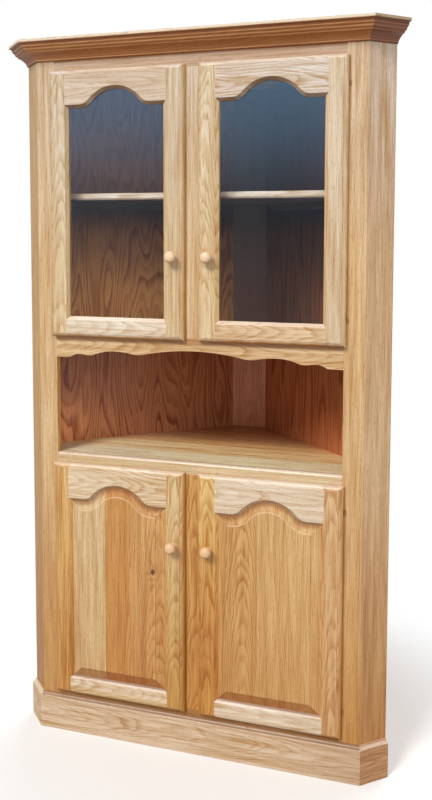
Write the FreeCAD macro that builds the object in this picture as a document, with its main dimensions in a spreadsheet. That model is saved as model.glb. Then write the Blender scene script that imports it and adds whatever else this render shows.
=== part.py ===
import FreeCAD, Part

import math
import os

import Sketcher

# A corner hutch: a glazed cupboard over an open bay and a panelled cupboard, all one carcass.
# Millimetres, +Z up, +X to the right of someone who faces it. The origin is on the floor,
# in the middle of the width and of the depth, crown included.

os.makedirs("parts", exist_ok=True)
doc = FreeCAD.newDocument("CornerHutch")

# Driving sizes, each written once. Everything else follows from these.
drivingSizes = {
    # carcass, seen from above
    "faceWidth": 945.6,        # flat front, between the two front corners
    "returnWidth": 86.3,       # short side that runs back at 45 degrees to the room wall
    "boardThick": 19.0,        # face frame, returns and decks
    "stileWidth": 54.8,        # face frame beside the openings
    "wallThick": 6.0,          # the two back walls
    "wallLap": 9.5,            # how far a back wall reaches into the rabbet of its return
    "cornerBoardFace": 112.2,  # inner face of the board across the back corner
    "cornerBoardThick": 12.0,
    # carcass, heights
    "overallHeight": 2000.0,
    "crownLip": 6.0,           # the crown stands this much above the frame behind it
    "topRailHeight": 84.2,
    "bottomRailHeight": 55.0,
    "counterRise": 27.3,       # top of the counter above the lower doors
    "nosingWidth": 8.5,        # rounded front edge of the counter
    "bayHeight": 345.3,        # from the counter to the floor of the upper cupboard
    "apronHeight": 66.8,       # apron beside the stiles
    "apronRise": 31.9,         # from there up to the middle of its scalloped edge
    "shelfThick": 18.0,
    "shelfSetback": 12.0,      # shelf edge behind the face frame
    "upperShelfHeight": 399.7, # top of the shelf above the floor of its cupboard
    "lowerShelfHeight": 343.4,
    "topThick": 12.0,
    "topCoverHeight": 21.0,    # dust top above the edge of the top rail
    # doors
    "meetingGap": 42.8,        # mullion left bare between two doors
    "doorOverlay": 6.1,        # how far a door laps the frame on every side
    "lowerDoorBottom": 118.5,
    "lowerDoorHeight": 686.2,
    "doorThick": 18.5,
    "doorGap": 2.4,            # door back to face frame, room for the hinge leaves
    "memberWidth": 58.5,       # stiles and bottom rail, to the sight edge
    "upperCrestWidth": 56.5,   # top rail above the middle of its arch
    "lowerCrestWidth": 60.8,
    "archRise": 48.0,
    "archHalfWidth": 106.0,    # middle of the arch to where its shoulder turns flat
    "archRadius": 105.0,       # at the front arris
    "edgeInset": 10.7,         # moulded outer edge: inset, small step, depth
    "edgeStep": 1.9,
    "edgeDepth": 10.4,
    "stickWidth": 9.0,         # bevel round the inner edge
    "stickDepth": 8.0,
    "grooveFront": 8.6,        # panel groove behind the face
    "grooveWidth": 6.0,
    "grooveDepth": 9.5,
    "panelGap": 1.0,           # room for the panel to swell in its groove
    "bevelWidth": 25.5,        # sloping border of the raised panel
    "fieldBack": 1.5,          # raised field behind the door face
    "fieldStep": 1.8,
    "lipDepth": 10.5,          # glass rabbet behind the face
    "rabbetWidth": 9.0,
    "glassThick": 3.0,
    "glassGap": 1.0,
    # knobs, hinges and catches
    "knobRadius": 16.0,
    "knobLength": 32.0,
    "knobInset": 30.1,         # from the meeting edge
    "upperKnobUp": 228.7,      # above the upper door's lower edge
    "lowerKnobDown": 208.8,    # below the lower door's upper edge
    "hingeInset": 70.0,        # hinge centre from the door's end
    "knuckleRadius": 2.5,
    "knuckleHeight": 4.0,
    "knuckleGap": 0.15,
    "barrelGap": 0.4,          # barrel to the door's edge
    "barrelStandoff": 0.3,     # barrel to the face frame
    "pinRadius": 1.2,
    "pinFit": 0.05,
    "leafThick": 1.0,
    "leafHeight": 46.0,
    "doorLeafReach": 30.0,
    "wrapDepth": 24.0,         # frame leaf, along the side of the stile
    "catchWidth": 14.0,
    "catchHeight": 40.0,
    "catchDepth": 26.0,
    "catchProud": 0.6,         # catch face in front of the frame
    "catchRise": 120.0,        # above the knob
    "catchSlot": 3.0,
    # mouldings
    "crownHeight": 54.5,
    "crownDepth": 57.5,
    "baseHeight": 104.7,
    "baseDepth": 12.7,
    # battens under the decks and shelves
    "cleatSize": 19.0,
    "cleatInset": 60.0,        # wall cleat from each end of its wall
    "returnCleatLength": 52.0,
    # how far a cut runs past what it cuts
    "overrun": 5.0,
}

# Where a shallow S of the apron's edge starts and ends: shares of the half opening and of
# the rise, from the flat beside the stile to the middle, then the share of its run that the
# arc at its first end takes.
apronShares = [
    (0.916, 0.0, 0.35),
    (0.830, 0.33, 0.6),
    (0.756, 0.235, 0.25),
    (0.574, 0.69, 0.8),
    (0.395, 0.46, 0.12),
    (0.0, 1.0, 0.0),
]

# Crown from its top edge down: shares of its reach and of its height, then how far the
# stretch that arrives there bows, as a share of its length, outward where above zero.
crownShares = [
    (1.0, 0.10, 0.0),
    (0.945, 0.155, 0.20),
    (0.895, 0.165, 0.0),
    (0.82, 0.255, -0.14),
    (0.755, 0.345, 0.22),
    (0.70, 0.395, 0.0),
    (0.585, 0.51, 0.17),
    (0.56, 0.515, 0.0),
    (0.55, 0.535, 0.0),
    (0.47, 0.60, 0.20),
    (0.445, 0.605, 0.0),
    (0.11, 0.875, -0.07),
    (0.09, 0.89, 0.0),
    (0.03, 1.0, 0.20),
]

# Base moulding, from its front face up, the same way.
baseShares = [
    (1.0, 0.895, 0.0),
    (0.90, 0.92, 0.20),
    (0.78, 0.92, 0.0),
    (0.25, 1.0, -0.14),
]

# Knob, from the door outward: shares of its radius and of its length.
knobShares = [
    (0.62, 0.0),
    (0.60, 0.08),
    (0.45, 0.26),
    (0.62, 0.37),
    (0.91, 0.47),
    (1.0, 0.61),
    (0.93, 0.79),
    (0.66, 0.93),
    (0.30, 1.0),
]

knuckleFlatCount = 16
knobFlatCount = 24
wallAngle = 45                               # walls and returns to the front, in plan
slant = math.sqrt(0.5)                       # run of such a line per length
mitre = math.tan(math.radians(wallAngle) / 2)   # plan mitre where the front meets a return


# A length that knows both its value and the expression that binds it to the sheet.
class Size:
    def __init__(self, value, text):
        self.value = value
        self.text = text

    def joined(self, sign, other, value):
        return Size(value, "(" + self.text + " " + sign + " " + other.text + ")")

    def __add__(self, other):
        other = asSize(other)
        return self.joined("+", other, self.value + other.value)

    def __radd__(self, other):
        return asSize(other) + self

    def __sub__(self, other):
        other = asSize(other)
        return self.joined("-", other, self.value - other.value)

    def __rsub__(self, other):
        return asSize(other) - self

    def __mul__(self, other):
        other = asSize(other)
        return self.joined("*", other, self.value * other.value)

    def __rmul__(self, other):
        return asSize(other) * self

    def __truediv__(self, other):
        other = asSize(other)
        return self.joined("/", other, self.value / other.value)

    def __neg__(self):
        return asSize(-1) * self

    def root(self):
        return Size(math.sqrt(self.value), "sqrt(" + self.text + ")")


def asSize(item):
    if isinstance(item, Size):
        return item
    return Size(float(item), "(" + repr(float(item)) + ")")


zero = Size(0.0, "0")

sheet = doc.addObject("Spreadsheet::Sheet", "Sizes")
size = {}
for row, (alias, length) in enumerate(drivingSizes.items(), start=1):
    sheet.set("A" + str(row), alias)
    sheet.set("B" + str(row), str(length))
    sheet.setAlias("B" + str(row), alias)
    size[alias] = Size(length, "Sizes." + alias)
doc.recompute()

# Plan: the face frame's front is y = 0 here, and faceBack puts it in its place.
board = size["boardThick"]
over = size["overrun"]
halfFace = size["faceWidth"] / 2
returnWidth = size["returnWidth"]
wallSum = halfFace + returnWidth * (2 * slant)           # x + y on a wall's outer face
innerSum = wallSum - size["wallThick"] * (2 * slant)     # x + y on its inner face
cornerHalf = size["cornerBoardFace"] / 2
cornerFront = innerSum - cornerHalf
backDepth = cornerFront + size["cornerBoardThick"]
faceBack = (size["crownDepth"] - backDepth) / 2

# Doors and the members behind them.
doorMeet = size["meetingGap"] / 2
halfOpening = halfFace - size["stileWidth"]
doorOuter = halfOpening + size["doorOverlay"]
halfMullion = doorMeet + size["doorOverlay"]
doorFront = -(size["doorGap"] + size["doorThick"])
frameTop = size["overallHeight"] - size["crownLip"]
lowerFloor = size["lowerDoorBottom"] + size["doorOverlay"]
lowerDoorTop = size["lowerDoorBottom"] + size["lowerDoorHeight"]
lowerCeiling = lowerDoorTop - size["doorOverlay"]
counterTop = lowerDoorTop + size["counterRise"]
upperFloor = counterTop + size["bayHeight"]
upperCeiling = frameTop - size["topRailHeight"]
upperDoorBottom = upperFloor - size["doorOverlay"]
upperDoorHeight = upperCeiling + size["doorOverlay"] - upperDoorBottom
apronEnd = upperFloor - size["apronHeight"]

subParts = []


def keep(thing, label):
    thing.Label = label
    subParts.append(thing)
    return thing


def newBody(name):
    return doc.addObject("PartDesign::Body", name)


def stand(thing, side=zero, back=zero, up=zero, turn=0, axis=(0, 0, 1)):
    place = FreeCAD.Vector(side.value, (faceBack + back).value, up.value)
    thing.Placement = FreeCAD.Placement(place, FreeCAD.Rotation(FreeCAD.Vector(*axis), turn))
    thing.setExpression("Placement.Base.x", side.text)
    thing.setExpression("Placement.Base.y", (faceBack + back).text)
    thing.setExpression("Placement.Base.z", up.text)


# A corner is (x, y), or (x, y, radius, turn) where an arc arrives at it, with the arc's
# centre on the left of the way there for a turn of 1 and on the right for -1.
def bowTo(start, end, share, wood=1):
    # wood is 1 where the piece lies on the left of the way, so a share above zero bulges
    if share == 0:
        return end
    run = end[0] - start[0]
    rise = end[1] - start[1]
    chord = (run * run + rise * rise).root()
    bow = abs(share)
    radius = chord * ((0.25 + bow * bow) / (2 * bow))
    return (end[0], end[1], radius, wood if share > 0 else -wood)


# A shallow S between two level points: two arcs that meet in line on the chord.
def swell(start, end, share, turn):
    run = end[0] - start[0]
    rise = end[1] - start[1]
    radii = (run * run + rise * rise) / (rise * 2)
    if radii.value < 0:
        radii = -radii
    middle = (start[0] + run * share, start[1] + rise * share)
    return [middle + (radii * share, turn), end + (radii * (1 - share), -turn)]


def bent(corners, wood=1):
    # corners given as (x, y, bow share), turned into an outline's corners
    path = [corners[0][:2]]
    for corner in corners[1:]:
        path.append(bowTo(path[-1], corner[:2], corner[2], wood))
    return path


def flipped(corners, side=-1):
    if side > 0:
        return corners
    return [(-corner[0],) + corner[1:3] + tuple(-turn for turn in corner[3:]) for corner in corners]


def swapped(corners):
    # across and depth change places, as in a section seen from the end
    return [(corner[1], corner[0]) + corner[2:3] + tuple(-turn for turn in corner[3:])
            for corner in corners]


def moved(corners, side, up):
    return [(corner[0] + side, corner[1] + up) + corner[2:] for corner in corners]


def rectangle(left, low, right, high):
    return [(left, low), (right, low), (right, high), (left, high)]


def arcSegment(start, end):
    radius = end[2].value
    run = end[0].value - start[0].value
    rise = end[1].value - start[1].value
    chord = math.hypot(run, rise)
    height = math.sqrt(max(radius * radius - chord * chord / 4, 0)) * end[3]
    middleX = (start[0].value + end[0].value) / 2 - rise / chord * height
    middleY = (start[1].value + end[1].value) / 2 + run / chord * height
    first = math.atan2(start[1].value - middleY, start[0].value - middleX)
    last = math.atan2(end[1].value - middleY, end[0].value - middleX)
    circle = Part.Circle(FreeCAD.Vector(middleX, middleY, 0), FreeCAD.Vector(0, 0, 1), radius)
    if end[3] > 0:
        return Part.ArcOfCircle(circle, first, last)
    return Part.ArcOfCircle(circle, last, first)


def pinCorner(sketch, edge, end, corner):
    for kind, axis, place in (("DistanceX", -2, corner[0]), ("DistanceY", -1, corner[1])):
        if place is zero:
            sketch.addConstraint(Sketcher.Constraint("PointOnObject", edge, end, axis))
            continue
        number = sketch.addConstraint(Sketcher.Constraint(kind, -1, 1, edge, end, place.value))
        sketch.setExpression("Constraints[" + str(number) + "]", place.text)


# One closed outline in a sketch, every corner and radius bound to the sheet.
def addOutline(sketch, corners):
    first = sketch.GeometryCount
    count = len(corners)
    starts = []
    for index in range(count):
        start = corners[index]
        end = corners[(index + 1) % count]
        if len(end) == 4:
            edge = sketch.addGeometry(arcSegment(start, end))
            number = sketch.addConstraint(Sketcher.Constraint("Radius", edge, end[2].value))
            sketch.setExpression("Constraints[" + str(number) + "]", end[2].text)
            starts.append(1 if end[3] > 0 else 2)
        else:
            fromPoint = FreeCAD.Vector(start[0].value, start[1].value, 0)
            toPoint = FreeCAD.Vector(end[0].value, end[1].value, 0)
            sketch.addGeometry(Part.LineSegment(fromPoint, toPoint))
            starts.append(1)
    for index in range(count):
        following = (index + 1) % count
        sketch.addConstraint(Sketcher.Constraint(
            "Coincident", first + index, 3 - starts[index], first + following, starts[following]))
        pinCorner(sketch, first + index, starts[index], corners[index])


def newSketch(body, name, plane, lift=None):
    sketch = body.newObject("Sketcher::SketchObject", name)
    for feature in body.Origin.OriginFeatures:
        if feature.Role == plane:
            sketch.AttachmentSupport = [(feature, "")]
    sketch.MapMode = "FlatFace"
    if lift is not None:
        sketch.setExpression("AttachmentOffset.Base.z", lift.text)
    return sketch


def outline(body, name, plane, corners, lift=None):
    sketch = newSketch(body, name, plane, lift)
    addOutline(sketch, corners)
    return sketch


def circle(body, name, plane, radius, lift=None):
    sketch = newSketch(body, name, plane, lift)
    ring = Part.Circle(FreeCAD.Vector(), FreeCAD.Vector(0, 0, 1), radius.value)
    sketch.addGeometry(ring)
    sketch.addConstraint(Sketcher.Constraint("Coincident", 0, 3, -1, 1))
    number = sketch.addConstraint(Sketcher.Constraint("Radius", 0, radius.value))
    sketch.setExpression("Constraints[" + str(number) + "]", radius.text)
    return sketch


def pad(body, sketch, length, back=False, middle=False):
    feature = body.newObject("PartDesign::Pad", "Pad")
    feature.Profile = sketch
    feature.setExpression("Length", length.text)
    feature.Reversed = back
    if middle:
        feature.SideType = "Symmetric"


# A pocket goes into the piece by its depth, or right through it both ways.
def pocket(body, sketch, depth=None):
    feature = body.newObject("PartDesign::Pocket", "Pocket")
    feature.Profile = sketch
    if depth is None:
        feature.Type = "ThroughAll"
        feature.SideType = "Symmetric"
    else:
        feature.setExpression("Length", depth.text)


def loft(body, kind, first, last):
    feature = body.newObject("PartDesign::" + kind, "Loft")
    feature.Profile = first
    feature.Sections = [last]
    feature.Ruled = True


def group(label, members):
    compound = doc.addObject("Part::Compound", label + "_group")
    compound.Links = members
    return keep(compound, label)


# A point in plan on the right return: along it from the front corner, and in from its face.
def onReturn(along, inward):
    return (halfFace + (along - inward) * slant, (along + inward) * slant)


frameInner = (halfFace - board * mitre, board)
wallFoot = onReturn(returnWidth - size["wallThick"], board)
wallStart = onReturn(returnWidth - size["wallThick"], board - size["wallLap"])
wallStartBack = onReturn(returnWidth, board - size["wallLap"])


# Upright boards of the carcass, each a plan section raised to the frame's height.
def upright(label, corners, side=1):
    body = newBody(label)
    pad(body, outline(body, "plan", "XY_Plane", flipped(corners, side)), frameTop)
    stand(body)
    keep(body, label)


stilePlan = [(halfOpening, zero), (halfFace, zero), frameInner, (halfOpening, board)]
returnPlan = [
    (halfFace, zero),
    onReturn(returnWidth, zero),
    wallStartBack,
    wallStart,
    wallFoot,
    frameInner,
]
wallPlan = [
    wallStartBack,
    (wallSum - backDepth, backDepth),
    (innerSum - backDepth, backDepth),
    wallStart,
]
for hand, side in (("left", -1), ("right", 1)):
    upright(hand + "_stile", stilePlan, side)
    upright(hand + "_return", returnPlan, side)
    upright(hand + "_back_wall", wallPlan, side)
upright("back_corner_board", [
    (-cornerHalf, cornerFront),
    (cornerHalf, cornerFront),
    (innerSum - backDepth, backDepth),
    (backDepth - innerSum, backDepth),
])


# Members of the face frame between the stiles, drawn from the front.
def frameMember(label, corners):
    body = newBody(label)
    pad(body, outline(body, "front", "XZ_Plane", corners), board, back=True)
    stand(body)
    keep(body, label)


frameMember("top_rail", rectangle(-halfOpening, upperCeiling, halfOpening, frameTop))
frameMember("upper_mullion", rectangle(-halfMullion, upperFloor, halfMullion, upperCeiling))
frameMember("lower_mullion", rectangle(-halfMullion, lowerFloor, halfMullion, lowerCeiling))
frameMember("bottom_rail", rectangle(
    -halfOpening, lowerFloor - size["bottomRailHeight"], halfOpening, lowerFloor))


# The scalloped lower edge of the apron, from the right stile to the middle and mirrored.
def apronEdge():
    right = []
    for index in range(len(apronShares) - 1):
        ends = []
        for reachShare, riseShare, bendShare in apronShares[index:index + 2]:
            reach = halfOpening * reachShare if reachShare else zero
            ends.append((reach, apronEnd + size["apronRise"] * riseShare))
        if not right:
            right.append(ends[0])
        climbs = apronShares[index + 1][1] > apronShares[index][1]
        right += swell(ends[0], ends[1], apronShares[index][2], -1 if climbs else 1)
    left = []
    for corner, arrives in zip(right[-2::-1], right[:0:-1]):
        left.append((-corner[0], corner[1]) + arrives[2:])
    return right + left


frameMember("apron_rail", [
    (-halfOpening, apronEnd),
    (-halfOpening, upperFloor),
    (halfOpening, upperFloor),
    (halfOpening, apronEnd),
] + apronEdge())

# The counter rail has a rounded front edge, level with the counter behind it.
counterRail = newBody("counter_rail")
nosing = size["nosingWidth"]
pad(counterRail, outline(counterRail, "section", "YZ_Plane", [
    (zero, lowerCeiling),
    (board, lowerCeiling),
    (board, counterTop),
    (nosing, counterTop),
    bowTo((nosing, counterTop), (zero, counterTop - nosing), 0.2),
]), halfOpening * 2, middle=True)
stand(counterRail)
keep(counterRail, "counter_rail")


# Level boards that fill the plan behind the face frame.
def deck(label, top, thickness, setback=zero):
    front = [(frameInner[0] + setback, board + setback), wallFoot, (cornerHalf, cornerFront)]
    corners = front + [(-corner[0], corner[1]) for corner in reversed(front)]
    body = newBody(label)
    pad(body, outline(body, "plan", "XY_Plane", corners), thickness)
    stand(body, up=top - thickness)
    keep(body, label)
    deckUndersides.append(top - thickness)


deckUndersides = []
deck("floor_panel", lowerFloor, board)
deck("lower_shelf", lowerFloor + size["lowerShelfHeight"], size["shelfThick"], size["shelfSetback"])
deck("counter_panel", counterTop, board)
deck("upper_deck", upperFloor, board)
deck("upper_shelf", upperFloor + size["upperShelfHeight"], size["shelfThick"], size["shelfSetback"])
deck("top_panel", upperCeiling + size["topCoverHeight"] + size["topThick"], size["topThick"])


# Battens that carry the decks, screwed to the walls and to the returns.
def batten(name, length, side, back, up, turn):
    box = doc.addObject("Part::Box", name)
    box.setExpression("Length", length.text)
    box.setExpression("Width", cleat.text)
    box.setExpression("Height", cleat.text)
    stand(box, side, back, up, turn)
    return box


cleat = size["cleatSize"]
inset = size["cleatInset"] * slant
wallLength = (wallFoot[0] - cornerHalf) / slant
wallCleatLength = wallLength - size["cleatInset"] * 2
returnFace = (wallFoot[0] - frameInner[0]) / slant
returnInset = (returnFace - size["returnCleatLength"]) / 2 * slant
wallCleats = []
returnCleats = []
for underside in deckUndersides:
    level = underside - cleat
    wallCleats.append(batten(
        "cleat", wallCleatLength, cornerHalf + inset - cleat * slant,
        cornerFront - inset - cleat * slant, level, -wallAngle))
    wallCleats.append(batten(
        "cleat", wallCleatLength, -cornerHalf - inset, cornerFront - inset, level,
        wallAngle - 180))
    returnCleats.append(batten(
        "cleat", size["returnCleatLength"], frameInner[0] + returnInset,
        frameInner[1] + returnInset, level, wallAngle))
    returnCleats.append(batten(
        "cleat", size["returnCleatLength"], returnInset - wallFoot[0],
        wallFoot[1] - returnInset, level, -wallAngle))
group("wall_cleats", wallCleats)
group("return_cleats", returnCleats)


# A mitred length of moulding: its plan raised, then the air in front of its face cut away.
def moulding(label, plan, air, height, up, side=0, turn=0):
    body = newBody(label)
    outward = -1 if side < 0 else 1
    pad(body, outline(body, "plan", "XY_Plane", plan), height)
    pocket(body, outline(body, "air", "YZ_Plane", flipped(air, outward)))
    stand(body, side=halfFace * side if side else zero, up=up, turn=turn)
    keep(body, label)


def mouldings(prefix, out, height, up, air):
    corner = out * mitre
    moulding(prefix + "_front", [
        (-halfFace, zero),
        (-halfFace - corner, -out),
        (halfFace + corner, -out),
        (halfFace, zero),
    ], air, height, up)
    returnPlanView = [(zero, zero), (-corner, -out), (returnWidth, -out), (returnWidth, zero)]
    leftPlanView = [(zero, zero), (returnWidth, zero), (returnWidth, out), (-corner, out)]
    moulding(prefix + "_right", returnPlanView, air, height, up, 1, wallAngle)
    moulding(prefix + "_left", leftPlanView, air, height, up, -1, 180 - wallAngle)


def mouldingAir(shares, out, height, upwards):
    face = []
    for outShare, downShare, bowShare in shares:
        rise = height * (downShare if upwards else 1 - downShare)
        face.append((out * -outShare, rise if rise.value else zero, bowShare))
    path = bent(face, -1 if upwards else 1)
    far = height + over if upwards else -over
    last = path[-1]
    return path + [(last[0], far), (-out - over, far), (-out - over, path[0][1])]


crownOut = size["crownDepth"]
crownHeight = size["crownHeight"]
mouldings("crown", crownOut, crownHeight, size["overallHeight"] - crownHeight,
          mouldingAir(crownShares, crownOut, crownHeight, False))
mouldings("base", size["baseDepth"], size["baseHeight"], zero,
          mouldingAir(baseShares, size["baseDepth"], size["baseHeight"], True))

# Door frames. Across a member, u runs in from the door's outer edge and depth runs back
# from its face.
memberWidth = size["memberWidth"]
doorThick = size["doorThick"]
edgeInset = size["edgeInset"]
stick = size["stickWidth"]
edgeBow = 0.17
grooveBack = size["grooveFront"] + size["grooveWidth"]
tongue = size["grooveDepth"] - size["panelGap"]
archSum = (size["archHalfWidth"] * size["archHalfWidth"] + size["archRise"] * size["archRise"]) / (
    size["archRise"] * 2)


def memberSection(glazed):
    outer = [
        (memberWidth, doorThick),
        (zero, doorThick),
        (zero, size["edgeDepth"]),
        bowTo((zero, size["edgeDepth"]), (edgeInset, size["edgeStep"]), edgeBow),
        (edgeInset, zero),
        (memberWidth - stick, zero),
        (memberWidth, size["stickDepth"]),
    ]
    if glazed:
        return [
            (memberWidth, size["lipDepth"]),
            (memberWidth - size["rabbetWidth"], size["lipDepth"]),
            (memberWidth - size["rabbetWidth"], doorThick),
        ] + outer[1:]
    return [
        (memberWidth, size["grooveFront"]),
        (memberWidth - size["grooveDepth"], size["grooveFront"]),
        (memberWidth - size["grooveDepth"], grooveBack),
        (memberWidth, grooveBack),
    ] + outer


# What the moulded outer edge takes off, in the same u and depth.
edgeAir = [
    (edgeInset, -over),
    (edgeInset, size["edgeStep"]),
    bowTo((edgeInset, size["edgeStep"]), (zero, size["edgeDepth"]), edgeBow, -1),
    (-over, size["edgeDepth"]),
    (-over, -over),
]


def doorStile(label, glazed, edge, inward, bottom, height):
    body = newBody(label)
    section = moved(flipped(memberSection(glazed), inward), edge, zero)
    pad(body, outline(body, "section", "XY_Plane", section), height)
    ends = outline(body, "ends", "YZ_Plane", swapped(edgeAir))
    addOutline(ends, [(corner[0], height - corner[1]) + corner[2:3] + tuple(
        -turn for turn in corner[3:]) for corner in swapped(edgeAir)])
    pocket(body, ends)
    stand(body, back=doorFront, up=bottom)
    return keep(body, label)


# The door's opening in front view, up to its arch, grown outward by some length.
def archRegion(height, crestWidth, grow, left, low, right):
    middle = (doorMeet + doorOuter) / 2
    crest = height - crestWidth + grow
    shoulder = crest - size["archRise"]
    crown = (size["archRadius"] - stick + grow) / archSum
    peak = (middle, crest)
    rightEnd = (middle + size["archHalfWidth"], shoulder)
    leftEnd = (middle - size["archHalfWidth"], shoulder)
    return [(left, low), (right, low), (right, shoulder), rightEnd] + swell(
        rightEnd, peak, 1 - crown, -1) + swell(peak, leftEnd, crown, 1) + [(left, shoulder)]


def copeTo(rail, stiles, label):
    cope = doc.addObject("Part::Cut", label + "_coped")
    cope.Base = rail
    cope.Tool = stiles
    keep(cope, label)


def doorRails(name, side, glazed, bottom, height, crestWidth, stiles):
    reach = memberWidth - (size["rabbetWidth"] if glazed else size["grooveDepth"])
    near = doorMeet + reach
    far = doorOuter - reach
    rail = newBody(name + "_bottom_rail_blank")
    pad(rail, outline(rail, "section", "YZ_Plane", swapped(memberSection(glazed)),
                      near if side > 0 else -far), far - near)
    stand(rail, back=doorFront, up=bottom)
    copeTo(rail, stiles, name + "_bottom_rail")

    rail = newBody(name + "_top_rail_blank")
    wide = rectangle(near, height - crestWidth - size["archRise"], far, height)
    pad(rail, outline(rail, "front", "XZ_Plane", flipped(wide, side)), doorThick, back=True)

    def region(grow, depth):
        low = height - crestWidth - size["archRise"] - over
        corners = archRegion(height, crestWidth, grow, near - over, low, far + over)
        return outline(rail, "arch", "XZ_Plane", flipped(corners, side), -depth)

    pocket(rail, region(zero, zero), doorThick)
    loft(rail, "SubtractiveLoft", region(stick, zero), region(zero, size["stickDepth"]))
    if glazed:
        rabbetTop = height - crestWidth + size["rabbetWidth"]
        rabbet = rectangle(near - over, zero, far + over, rabbetTop)
        pocket(rail, outline(rail, "rabbet", "XZ_Plane", flipped(rabbet, side),
                             -size["lipDepth"]), doorThick)
    else:
        pocket(rail, region(size["grooveDepth"], size["grooveFront"]), size["grooveWidth"])
    topAir = [(corner[0], height - corner[1]) + corner[2:3] + tuple(
        -turn for turn in corner[3:]) for corner in swapped(edgeAir)]
    pocket(rail, outline(rail, "edge", "YZ_Plane", topAir))
    stand(rail, back=doorFront, up=bottom)
    copeTo(rail, stiles, name + "_top_rail")


def raisedPanel(name, side, bottom, height, crestWidth):
    body = newBody(name + "_panel")

    def region(grow, depth):
        left = doorMeet + memberWidth - grow
        right = doorOuter - memberWidth + grow
        corners = archRegion(height, crestWidth, grow, left, memberWidth - grow, right)
        return outline(body, "region", "XZ_Plane", flipped(corners, side), -depth)

    bevel = -size["bevelWidth"]
    fieldFoot = size["fieldBack"] + size["fieldStep"]
    pad(body, region(tongue, size["grooveFront"]), size["grooveWidth"], back=True)
    loft(body, "AdditiveLoft", region(zero, size["grooveFront"]), region(bevel, fieldFoot))
    pad(body, region(bevel, fieldFoot), size["fieldStep"])
    stand(body, back=doorFront, up=bottom)
    keep(body, name + "_panel")


def plate(name, corners, depth, thickness, bottom):
    body = newBody(name)
    pad(body, outline(body, "front", "XZ_Plane", corners, -depth), thickness, back=True)
    stand(body, back=doorFront, up=bottom)
    return body


def glazing(name, side, bottom, height, crestWidth):
    rabbet = size["rabbetWidth"]
    left = doorMeet + memberWidth - rabbet
    right = doorOuter - memberWidth + rabbet
    low = memberWidth - rabbet
    high = height - crestWidth + rabbet
    gap = size["glassGap"]
    glass = rectangle(left + gap, low + gap, right - gap, high - gap)
    keep(plate(name + "_pane", flipped(glass, side), size["lipDepth"], size["glassThick"],
               bottom), name + "_pane")
    strips = [
        rectangle(left, low, right, low + rabbet),
        rectangle(left, high - rabbet, right, high),
        rectangle(left, low + rabbet, left + rabbet, high - rabbet),
        rectangle(right - rabbet, low + rabbet, right, high - rabbet),
    ]
    stopDepth = size["lipDepth"] + size["glassThick"]
    group(name + "_glass_stops", [
        plate("glass_stop", flipped(strip, side), stopDepth, doorThick - stopDepth, bottom)
        for strip in strips])


# The knob's round is cut as many small flats: its outline, run through from side to side,
# is turned about the axis, and the knob is what all the turned copies share.
def turnedKnob():
    half = [(size["knobRadius"] * radiusShare, size["knobLength"] * -outShare)
            for radiusShare, outShare in knobShares]
    body = newBody("knob_outline")
    pad(body, outline(body, "outline", "XY_Plane", half[::-1] + flipped(half)),
        size["knobRadius"] * 3, middle=True)
    copies = [body]
    for index in range(1, knobFlatCount // 2):
        copy = doc.addObject("Part::Compound", "knob_outline_turned")
        copy.Links = [body]
        copy.Placement = FreeCAD.Placement(
            FreeCAD.Vector(), FreeCAD.Rotation(FreeCAD.Vector(0, 1, 0), 360 * index / knobFlatCount))
        copies.append(copy)
    turned = doc.addObject("Part::MultiCommon", "turned_knob")
    turned.Shapes = copies
    return turned


def knob(name, side, up):
    placed = doc.addObject("Part::Compound", name + "_knob")
    placed.Links = [knobShape]
    across = doorMeet + size["knobInset"]
    stand(placed, across if side > 0 else -across, doorFront, up)
    keep(placed, name + "_knob")


knobShape = turnedKnob()

# Hinges. Each piece is drawn round the pin of a right-hand hinge: the door lies towards -X
# and the frame behind. The same pieces turned over serve the left-hand doors.
knuckle = size["knuckleRadius"]
knuckleHeight = size["knuckleHeight"]
doorSide = -(knuckle + size["barrelGap"])
frameFace = knuckle + size["barrelStandoff"]
frameSide = doorSide - size["doorOverlay"]
doorBack = frameFace - size["doorGap"]
leaf = size["leafThick"]
pinLength = knuckleHeight * 3 + size["knuckleGap"] * 2


def barrel(body, lift=None):
    # a knuckle rolled from strip, with many small flats round it
    step = math.radians(360 / knuckleFlatCount)
    corners = []
    for index in range(knuckleFlatCount):
        angle = step * (index + 0.5)
        corners.append((knuckle * math.cos(angle), knuckle * math.sin(angle)))
    return outline(body, "barrel", "XY_Plane", corners, lift)


def atHinge(body, side, up):
    across = doorOuter - doorSide
    stand(body, across if side > 0 else -across, -frameFace, up, 0 if side > 0 else 180, (0, 1, 0))
    return body


def frameLeaf(side, up):
    body = newBody("frame_leaf")
    pad(body, outline(body, "bent_leaf", "XY_Plane", [
        (frameSide - leaf, frameFace - leaf),
        (doorSide, frameFace - leaf),
        (doorSide, frameFace),
        (frameSide, frameFace),
        (frameSide, frameFace + size["wrapDepth"]),
        (frameSide - leaf, frameFace + size["wrapDepth"]),
    ]), size["leafHeight"], middle=True)
    arm = rectangle(doorSide, frameFace - leaf, zero, frameFace)
    pad(body, outline(body, "arm", "XY_Plane", arm), knuckleHeight, middle=True)
    pad(body, barrel(body), knuckleHeight, middle=True)
    pocket(body, circle(body, "bore", "XY_Plane", size["pinRadius"]))
    return atHinge(body, side, up)


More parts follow.
